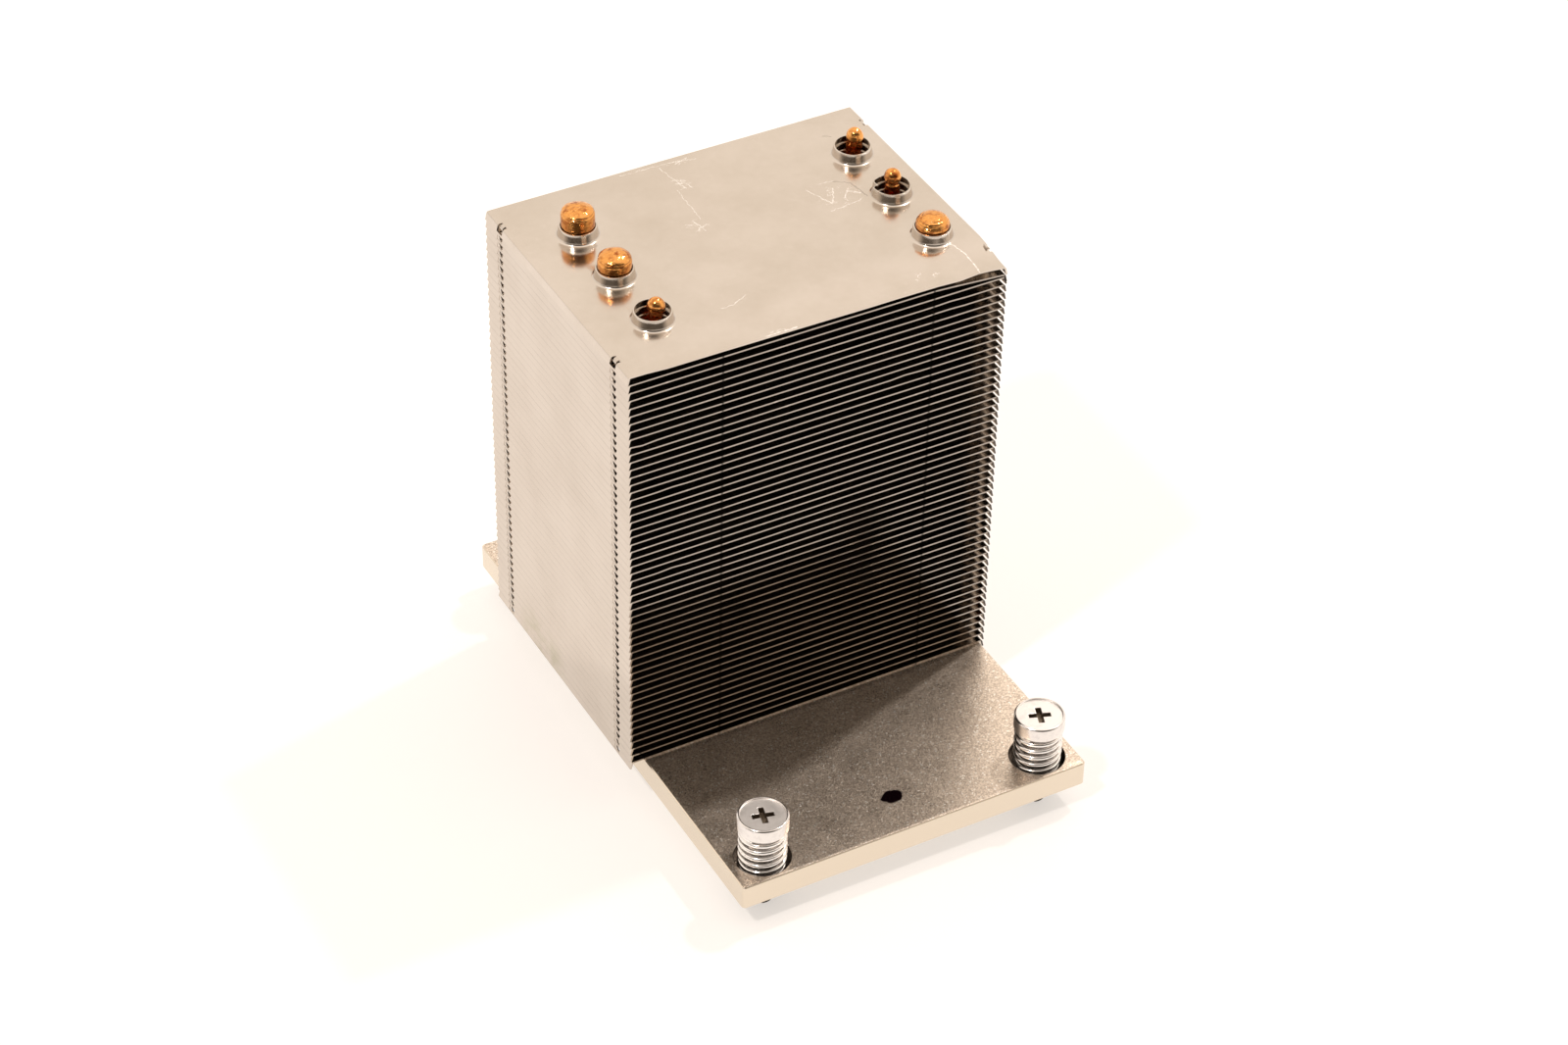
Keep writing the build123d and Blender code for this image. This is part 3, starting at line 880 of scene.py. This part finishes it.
def alongPoints(points, value):
    for (x0, y0), (x1, y1) in zip(points, points[1:]):
        if value <= x1:
            return y0 + (y1 - y0) * max(0.0, (value - x0) / (x1 - x0))
    return points[-1][1]


def topLift(x, y):
    s = topShape
    ripple = noise.noise(Vector((x / s["waveLength"], y / s["waveLength"], 0.3)))
    lift = s["wave"] * ripple * offSides(x, s["flatEnds"])
    bend = alongPoints(s["frontEdge"], x / mm) * mm
    return lift + bend * smoothStep(topLow.y + s["bendReach"], topLow.y, y)


def dentCollar(bm, axis):
    # the rim is pushed in at one place, with a slight lip each side of it
    s = topShape
    heading = math.atan2(s["dentTowards"][1], s["dentTowards"][0])
    for turn in sorted([*s["dentCuts"], *[-cut for cut in s["dentCuts"]]]):
        angle = heading + math.radians(turn)
        faces = [f for f in bm.faces if (f.calc_center_median().xy - axis).length < legReach]
        cutPlane(bm, faces, (*axis, 0), (-math.sin(angle), math.cos(angle), 0))
    foot = sheetTop + s["dentFoot"]
    for v in bm.verts:
        away = v.co.xy - axis
        if away.length > legReach or v.co.z < foot:
            continue
        turn = math.degrees(math.remainder(math.atan2(away.y, away.x) - heading, 2 * math.pi))
        high = smoothStep(foot, topHigh.z, v.co.z)
        push = s["dentDepth"] * math.exp(-((turn / s["dentWidth"]) ** 2))
        push -= s["dentLip"] * math.exp(-(((abs(turn) - 2.4 * s["dentWidth"]) / s["dentWidth"]) ** 2))
        v.co.xy -= away.normalized() * push * high
        v.co.z -= max(0.0, push) * 0.25 * high


def makeTopFin():
    s = topShape
    bm = mergedCopy("top_fin")

    def ringEdges(height, radius):
        # the edges at this height that run round one collar
        def onRing(e, place):
            return all(abs((v.co.xy - place).length - radius) < s["ringSlack"] for v in e.verts)

        level = [e for e in bm.edges if all(abs(v.co.z - height) < s["sheetSlack"] for v in e.verts)]
        return [e for e in level if any(onRing(e, place) for place in collarPlaces)]

    footEdges = ringEdges(sheetTop, s["footRadius"])
    rimEdges = ringEdges(topHigh.z, s["rimRadius"])
    print("collar foot edges:", len(footEdges), "rim edges:", len(rimEdges))
    bevelEdges(bm, footEdges, s["footFillet"], 4)
    bevelEdges(bm, rimEdges, s["rimBevel"], 2)
    dentCollar(bm, legAxes["middle"]["right"])

    def onSheet(face):
        return face.calc_center_median().z < sheetTop + s["sheetSlack"]

    cutAcross(bm, 0, [x * mm for x, lift in s["frontEdge"][1:-1]], onSheet)
    cutAcross(bm, 0, placesBetween(topLow.x, topHigh.x, s["gridX"]), onSheet)
    cutAcross(bm, 1, placesBetween(topLow.y, topHigh.y, s["gridY"]), onSheet)

    # the collar bores and the faces under the sheet get painted shade
    def isInner(centre, normal):
        place = min(collarPlaces, key=lambda place: (centre.xy - place).length)
        inwards = place - centre.xy
        if centre.z > sheetTop - s["sheetSlack"] or inwards.length < s["collarReach"]:
            return inwards.length < s["boreReach"] and inwards.normalized().dot(normal.xy) > 0.5
        return normal.z < -0.5 or insideStack(centre, normal) and normal.z < 0.3

    markPaintedShade(bm, isInner)
    for v in bm.verts:
        v.co.z += topLift(v.co.x, v.co.y)
    return addPiece("topFin", bm, [topNickel, finInnerShade], "root", ["top_fin"])


makeTopFin()
print("top fin made")


# Heat pipe ends: each leg's end is cut off below its collar and drawn up again ring by ring

pipeEnds = {
    "cutBelowRim": 6.6 * mm,
    "dent": {"dome": 0.05 * mm, "tip": 0.03 * mm},
    "dentSize": 1.3 * mm,
    # distance down from the top of each end, and its radius there
    "domes": {
        "rear": (
            (6.0, 3.00), (4.5, 3.00), (3.2, 3.00), (2.3, 3.00), (1.7, 3.00), (1.42, 2.98), (1.26, 2.93),
            (1.17, 2.84), (1.10, 2.76), (1.02, 2.75), (0.96, 2.80), (0.86, 2.82), (0.74, 2.72),
            (0.62, 2.57), (0.52, 2.42), (0.47, 2.30), (0.44, 2.20), (0.36, 2.10), (0.26, 1.86),
            (0.17, 1.55), (0.09, 1.20), (0.03, 0.80), (0.00, 0.48), (0.03, 0.33), (0.10, 0.20),
            (0.14, 0.08),
        ),
        "middle": (
            (5.6, 3.00), (4.0, 3.00), (2.9, 3.00), (2.2, 3.00), (1.8, 2.99), (1.58, 2.94), (1.45, 2.85),
            (1.37, 2.77), (1.29, 2.76), (1.22, 2.82), (1.10, 2.86), (0.90, 2.75), (0.66, 2.52),
            (0.46, 2.22), (0.31, 1.90), (0.20, 1.58), (0.11, 1.20), (0.05, 0.80), (0.02, 0.45),
            (0.01, 0.12),
        ),
        "front": (
            (5.0, 3.00), (3.6, 3.00), (2.6, 3.00), (2.0, 3.00), (1.78, 2.98), (1.68, 2.92), (1.58, 2.91),
            (1.48, 2.95), (1.34, 2.93), (1.22, 2.84), (1.14, 2.74), (1.05, 2.74), (0.94, 2.72),
            (0.84, 2.60), (0.76, 2.46), (0.68, 2.42), (0.58, 2.38), (0.50, 2.20), (0.44, 1.98),
            (0.38, 1.88), (0.28, 1.80), (0.17, 1.52), (0.09, 1.14), (0.03, 0.66), (0.00, 0.20),
        ),
    },
    "tips": {
        "rear": (
            (8.4, 3.00), (7.8, 2.85), (7.2, 2.60), (6.6, 2.25), (6.0, 1.88), (5.5, 1.56), (5.1, 1.38),
            (4.7, 1.38), (4.3, 1.47), (3.9, 1.51), (3.5, 1.47), (3.1, 1.44), (2.7, 1.49), (2.3, 1.55),
            (1.9, 1.58), (1.5, 1.56), (1.15, 1.49), (0.85, 1.37), (0.58, 1.19), (0.36, 0.97),
            (0.19, 0.72), (0.08, 0.47), (0.02, 0.25), (0.0, 0.09),
        ),
        "middle": (
            (8.2, 3.00), (7.7, 2.84), (7.1, 2.50), (6.5, 2.13), (5.9, 1.79), (5.4, 1.55), (4.9, 1.42),
            (4.3, 1.38), (3.7, 1.36), (3.2, 1.33), (2.95, 1.25), (2.80, 1.14), (2.65, 1.14), (2.50, 1.25),
            (2.25, 1.40), (1.95, 1.50), (1.55, 1.54), (1.15, 1.48), (0.80, 1.34), (0.50, 1.12),
            (0.28, 0.86), (0.12, 0.58), (0.04, 0.32), (0.0, 0.10),
        ),
        "front": (
            (7.1, 2.95), (6.7, 2.65), (6.2, 2.25), (5.7, 1.85), (5.2, 1.48), (4.8, 1.24), (4.4, 1.12),
            (4.0, 1.11), (3.6, 1.18), (3.2, 1.31), (2.8, 1.46), (2.4, 1.57), (2.0, 1.63), (1.6, 1.63),
            (1.25, 1.57), (0.92, 1.45), (0.64, 1.27), (0.40, 1.04), (0.21, 0.77), (0.09, 0.51),
            (0.02, 0.27), (0.0, 0.10),
        ),
    },
    # how far the drawn ends stay under the bare ones, in millimetres
    "short": {
        "dome": {"rear": 0.15, "middle": 0.0, "front": 0.45},
        "tip": {"rear": 0.65, "middle": 0.45, "front": 0.0},
    },
    # how each tip leans from its leg's axis, and how far and how twisted it is squeezed
    "lean": {"rear": (0.50 * mm, 0.10 * mm), "middle": (0.14 * mm, 0.1 * mm), "front": (0.74 * mm, 0.1 * mm)},
    "leanRange": (7 * mm, 3 * mm),
    "crimp": {"rear": 0.045, "middle": 0.01, "front": 0.03},
    "crimpTurn": {"rear": 0.35, "middle": 0.1, "front": 0.2},
}
domeSides = {"rear": "left", "middle": "left", "front": "right"}


def endTop(row, side):
    # the highest point of one leg of the pipe
    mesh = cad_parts[f"heat_pipe_{row}"].data
    axis = legAxes[row][side]
    return max(v.co.z for v in mesh.vertices if (v.co.xy - axis).length < legReach)


def rimEdges(bm, axis):
    return [e for e in bm.edges if e.is_boundary and (e.verts[0].co.xy - axis).length < legReach]


def drawUp(bm, edges, axis, count, place):
    # each ring is pulled out of the last one, and place gives where its points go
    turn = bm.verts.layers.float.new("turn")
    for v in {v for e in edges for v in e.verts}:
        away = v.co.xy - axis
        v[turn] = math.atan2(away.y, away.x)
    for number in range(count):
        made = bmesh.ops.extrude_edge_only(bm, edges=edges)["geom"]
        edges = [g for g in made if isinstance(g, bmesh.types.BMEdge)]
        ring = [g for g in made if isinstance(g, bmesh.types.BMVert)]
        for v in ring:
            v.co = place(number, v[turn])
    centre = sum((v.co for v in ring), Vector()) / len(ring)
    bmesh.ops.pointmerge(bm, verts=ring, merge_co=centre)
    bm.verts.layers.float.remove(turn)


def makeHeatPipe(row):
    s = pipeEnds
    bm = mergedCopy(f"heat_pipe_{row}")
    cutLevel = topHigh.z - s["cutBelowRim"]
    cutPlane(bm, bm.faces[:], (0, 0, cutLevel), (0, 0, 1), True)
    for side, axis in legAxes[row].items():
        kind = "dome" if side == domeSides[row] else "tip"
        top = endTop(row, side) - s["short"][kind][row] * mm
        steps = [(down * mm, radius * mm) for down, radius in s[kind + "s"][row]]
        steps = [step for step in steps if top - step[0] > cutLevel + 0.1 * mm]
        leanX, leanY = s["lean"][row] if kind == "tip" else (0.0, 0.0)
        crimp = s["crimp"][row] if kind == "tip" else 0.0
        crimpTurn = s["crimpTurn"][row]

        def place(number, angle):
            down, radius = steps[number]
            rise = smoothStep(*s["leanRange"], down)
            flat = 1 - crimp * rise * (1 + math.cos(2 * (angle - crimpTurn * down / mm)))
            spot = Vector((
                axis.x + leanX * rise + radius * flat * math.cos(angle),
                axis.y + leanY * rise + radius * flat * math.sin(angle),
                top - down,
            ))
            dent = noise.noise(spot / s["dentSize"]) * s["dent"][kind] * min(1.0, radius / mm)
            dent *= smoothStep(cutLevel, cutLevel + 3 * mm, spot.z)
            spot.x += dent * math.cos(angle)
            spot.y += dent * math.sin(angle)
            if kind == "dome" and radius > 0.5 * mm:
                spot.z -= abs(noise.noise(spot / s["dentSize"] + Vector((0, 0, 9)))) * s["dent"][kind] * 1.6
            return spot

        bmesh.ops.subdivide_edges(bm, edges=rimEdges(bm, axis), cuts=1)
        drawUp(bm, rimEdges(bm, axis), axis, len(steps), place)
    bmesh.ops.recalc_face_normals(bm, faces=bm.faces)
    pieceName = f"heatPipe{row.title()}"
    return addPiece(pieceName, bm, [pipeCopper], "root", [f"heat_pipe_{row}"], 60)


for row in rows:
    makeHeatPipe(row)
print("heat pipes made")


# Base plate: the hole rims and edges get a small break

plateShape = {
    "holeBreak": 0.09 * mm,
    "edgeBreak": 0.2 * mm,
    "edgeAngle": 40,
    # edges at the top face's height, and those that lie within its outline
    "topReach": 0.02 * mm,
    "outlineReach": (1 * mm, 0.5 * mm),
}


def makeBasePlate():
    s = plateShape
    bm = mergedCopy("base_plate")
    rims, outline = [], []
    innerX = plateHigh.x - s["outlineReach"][0]
    innerY = plateHigh.y - s["outlineReach"][1]
    for e in hardEdges(bm, s["edgeAngle"]):
        if all(v.co.z > plateHigh.z - s["topReach"] for v in e.verts):
            inside = all(abs(v.co.x) < innerX and abs(v.co.y) < innerY for v in e.verts)
            (rims if inside else outline).append(e)
    bevelEdges(bm, outline, s["edgeBreak"], 2)
    rims = [e for e in rims if e.is_valid]
    bevelEdges(bm, rims, s["holeBreak"], 2)
    return addPiece("basePlate", bm, [plateNickel], "root", ["base_plate"], 20)


makeBasePlate()
print("base plate made")


# Captive screws, springs and clips

screwShape = {
    "edgeAngle": 28,
    "edgeBreak": 0.055 * mm,
    "threadStart": -0.55 * mm,
    "coreRadius": 1.62 * mm,
    "crestRadius": 1.97 * mm,
    "pitch": 0.7 * mm,
    "stepsPerTurn": 24,
    "tipChamfer": 0.15 * mm,
    "tipFlat": 0.2 * mm,
    # the thread's ridge is rooted in the core, and each half takes up this share of the pitch
    "ridgeRoot": 0.1 * mm,
    "ridgeHalf": 0.34,
    "ridgeStart": 0.3 * mm,
    "ridgeEnd": 0.32 * mm,
}
springShape = {
    "wire": 0.85 * mm,
    "outerRadius": 4.375 * mm,
    "closedTurns": 1.0,
    "activeTurns": 4.6,
    "closedPitch": 0.88 * mm,
    "stepsPerTurn": 48,
    "wireSides": 14,
    "seat": 2.2 * mm,
    "travel": 4.0 * mm,
}
clipShape = {"edgeAngle": 40, "edgeBreak": 0.07 * mm}


def markLocal(piece, axis):
    # where each point stands from its screw's axis, for the turned rings
    spots = piece.data.attributes.new("local", "FLOAT_VECTOR", "POINT")
    for v in piece.data.vertices:
        spots.data[v.index].vector = (v.co.x - axis.x, v.co.y - axis.y, v.co.z)


def makeScrew(corner):
    s = screwShape
    axis = screwAxis(corner)
    low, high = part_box(f"screw_{corner}")
    bm = mergedCopy(f"screw_{corner}")
    cutPlane(bm, bm.faces[:], (0, 0, s["threadStart"]), (0, 0, -1), True)
    bevelEdges(bm, hardEdges(bm, s["edgeAngle"]), s["edgeBreak"], 2)
    rim = [e for e in bm.edges if e.is_boundary]
    core = s["coreRadius"]
    tipTop = low.z + s["tipChamfer"]
    rings = ((s["threadStart"], core), (tipTop, core), (low.z, core - s["tipChamfer"]), (low.z, s["tipFlat"]))

    def place(number, angle):
        level, radius = rings[number]
        return Vector((axis.x + radius * math.cos(angle), axis.y + radius * math.sin(angle), level))

    drawUp(bm, rim, axis, len(rings), place)
    bmesh.ops.recalc_face_normals(bm, faces=bm.faces)

    # the thread's ridge is a small triangle wound down the core
    first = s["threadStart"] - s["ridgeStart"]
    root = core - s["ridgeRoot"]
    half = s["ridgeHalf"] * s["pitch"]
    ridge = ((root, first - half), (s["crestRadius"], first), (root, first + half))
    face = bm.faces.new([bm.verts.new((axis.x + radius, axis.y, z)) for radius, z in ridge])
    length = first - (low.z + s["ridgeEnd"])
    turns = length / s["pitch"]
    steps = round(turns * s["stepsPerTurn"])
    section = [face, *face.edges, *face.verts]
    wound = wind(bm, section, (*axis, 0), (0, 0, 1), -2 * math.pi * turns, steps, -length / steps)
    ridgeFaces = set()
    reached = [f for f in wound if isinstance(f, bmesh.types.BMFace)]
    while reached:
        f = reached.pop()
        if f not in ridgeFaces:
            ridgeFaces.add(f)
            reached += [other for e in f.edges for other in e.link_faces if other not in ridgeFaces]
    bmesh.ops.recalc_face_normals(bm, faces=list(ridgeFaces))
    piece = addPiece(
        f"captiveScrew_{corner}", bm, [screwZinc], f"turn_{corner}", [f"screw_{corner}"], 20
    )
    markLocal(piece, axis)
    return piece


def makeSpring(corner):
    s = springShape
    axis = screwAxis(corner)
    low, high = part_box(f"spring_{corner}")
    wireRadius = s["wire"] / 2
    coilRadius = s["outerRadius"] - wireRadius
    bm = bmesh.new()
    circle = bmesh.ops.create_circle(bm, cap_ends=True, segments=s["wireSides"], radius=wireRadius)["verts"]
    coilStart = Matrix.Translation((axis.x + coilRadius, axis.y, low.z + wireRadius))
    bmesh.ops.transform(bm, matrix=coilStart @ Matrix.Rotation(math.pi / 2, 4, "X"), verts=circle)
    rise = high.z - low.z - s["wire"]
    activePitch = (rise - 2 * s["closedTurns"] * s["closedPitch"]) / s["activeTurns"]
    closed = (s["closedTurns"], s["closedPitch"])
    wound = bm.verts[:] + bm.edges[:] + bm.faces[:]
    for turns, coilPitch in (closed, (s["activeTurns"], activePitch), closed):
        steps = round(turns * s["stepsPerTurn"])
        climb = turns * coilPitch / steps
        wound = wind(bm, wound, (*axis, 0), (0, 0, 1), 2 * math.pi * turns, steps, climb)
    bmesh.ops.remove_doubles(bm, verts=bm.verts, dist=mergeDistance)
    bmesh.ops.recalc_face_normals(bm, faces=bm.faces)
    piece = addPiece(
        f"coilSpring_{corner}", bm, [springSteel], "root", [f"spring_{corner}"], 50
    )
    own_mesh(piece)
    return piece


def makeClip(corner):
    s = clipShape
    bm = mergedCopy(f"clip_{corner}")
    bevelEdges(bm, hardEdges(bm, s["edgeAngle"]), s["edgeBreak"], 2)
    return addPiece(
        f"retainingClip_{corner}", bm, [clipSteel], f"travel_{corner}", [f"clip_{corner}"]
    )


for corner in corners:
    makeScrew(corner)
    makeSpring(corner)
    makeClip(corner)
print("screws, springs and clips made")


# Floor, light and camera

# the pale floor is lit through, so that the shadows on it stay light
floorLook = {"size": 3.0, "colour": (0.40, 0.39, 0.385), "glow": (0.60, 0.565, 0.53), "roughness": 0.6}


def makeFloor():
    bm = bmesh.new()
    bmesh.ops.create_grid(bm, x_segments=1, y_segments=1, size=floorLook["size"])
    bmesh.ops.translate(bm, verts=bm.verts, vec=(0, 0, cadBox[0].z))
    mesh = bpy.data.meshes.new("floor")
    bm.to_mesh(mesh)
    bm.free()
    material, tree, shader = startMaterial("paleFloor", floorLook["colour"], 0.0, floorLook["roughness"])
    shader.inputs["Emission Color"].default_value = (*floorLook["glow"], 1)
    shader.inputs["Emission Strength"].default_value = 1.0
    mesh.materials.append(material)
    floor = bpy.data.objects.new("floor", mesh)
    bpy.context.scene.collection.objects.link(floor)


# direction towards each lamp, its size and its strength
lamps = {
    "rightLamp": {"towards": (0.516, 0.14, 0.845), "size": 0.07, "watts": 8.5},
    "leftLamp": {"towards": (-0.52, -0.18, 0.835), "size": 0.09, "watts": 11},
}
lampColour = (1.0, 0.93, 0.87)
lampDistance = 1.6
aimPoint = Vector((0, 8 * mm, 30 * mm))


def makeLamps():
    for name, look in lamps.items():
        light = bpy.data.lights.new(name, "AREA")
        light.shape = "DISK"
        light.size = look["size"]
        light.energy = look["watts"]
        light.color = lampColour
        lamp = bpy.data.objects.new(name, light)
        towards = Vector(look["towards"]).normalized()
        lamp.location = aimPoint + towards * lampDistance
        lamp.rotation_euler = towards.to_track_quat("Z", "Y").to_euler()
        bpy.context.scene.collection.objects.link(lamp)


roomLook = {
    # height of the direction, from the floor at 0 to overhead at 1, and the colour there
    "bands": (
        (0.0, (1.05, 0.97, 0.90)),
        (0.5, (1.15, 1.03, 0.90)),
        (0.8, (1.25, 1.12, 1.00)),
        (1.0, (1.25, 1.13, 1.02)),
    ),
    # one side of the room is dim, and its mask has soft ends across and in height
    "dimSide": (-0.46, -0.888, 0.0),
    "dimColour": (0.10, 0.085, 0.07),
    "dimAcross": (0.12, 0.62),
    "dimFoot": (0.02, 0.15),
    "dimTop": (0.98, 0.86),
}


def makeRoom():
    r = roomLook
    world = bpy.data.worlds.new("room")
    bpy.context.scene.world = world
    world.use_nodes = True
    tree = world.node_tree
    direction = addNode(tree, "ShaderNodeTexCoord").outputs["Generated"]
    height = axisParts(tree, direction)["Z"]
    ramp = addNode(tree, "ShaderNodeValToRGB", {0: height})
    points = ramp.color_ramp.elements
    while len(points) < len(r["bands"]):
        points.new(0.5)
    for element, (place, colour) in zip(points, r["bands"]):
        element.position = place
        element.color = (*colour, 1)
    facing = vectorMath(tree, "DOT_PRODUCT", direction, r["dimSide"], "Value")
    dim = product(
        tree,
        remap(tree, facing, *r["dimAcross"]),
        remap(tree, height, *r["dimFoot"]),
        remap(tree, height, *r["dimTop"]),
    )
    colour = mixColour(tree, dim, ramp.outputs["Color"], r["dimColour"])
    background = tree.nodes["Background"]
    tree.links.new(colour, background.inputs["Color"])


cameraShot = {
    "azimuth": -29.51,
    "elevation": 38.93,
    "roll": 1.3,
    "distance": 729.98 * mm,
    "target": (8.11 * mm, 11.8 * mm, 23.86 * mm),
    "lens": 90.82,
    "sensor": 36.0,
}


def makeCamera():
    s = cameraShot
    azimuth, elevation = math.radians(s["azimuth"]), math.radians(s["elevation"])
    back = Vector((
        math.sin(azimuth) * math.cos(elevation),
        -math.cos(azimuth) * math.cos(elevation),
        math.sin(elevation),
    ))
    right = Vector((math.cos(azimuth), math.sin(azimuth), 0))
    up = back.cross(right)
    turned = Matrix((right, up, back)).transposed() @ Matrix.Rotation(math.radians(s["roll"]), 3, "Z")
    camera = bpy.data.cameras.new("camera")
    camera.lens = s["lens"]
    camera.sensor_width = s["sensor"]
    camera.clip_start = 10 * mm
    shot = bpy.data.objects.new("camera", camera)
    shot.matrix_world = Matrix.Translation(Vector(s["target"]) + back * s["distance"]) @ turned.to_4x4()
    bpy.context.scene.collection.objects.link(shot)
    bpy.context.scene.camera = shot


makeFloor()
makeLamps()
makeRoom()
makeCamera()
bpy.context.scene.view_settings.view_transform = "Standard"
print("floor, light and camera made")
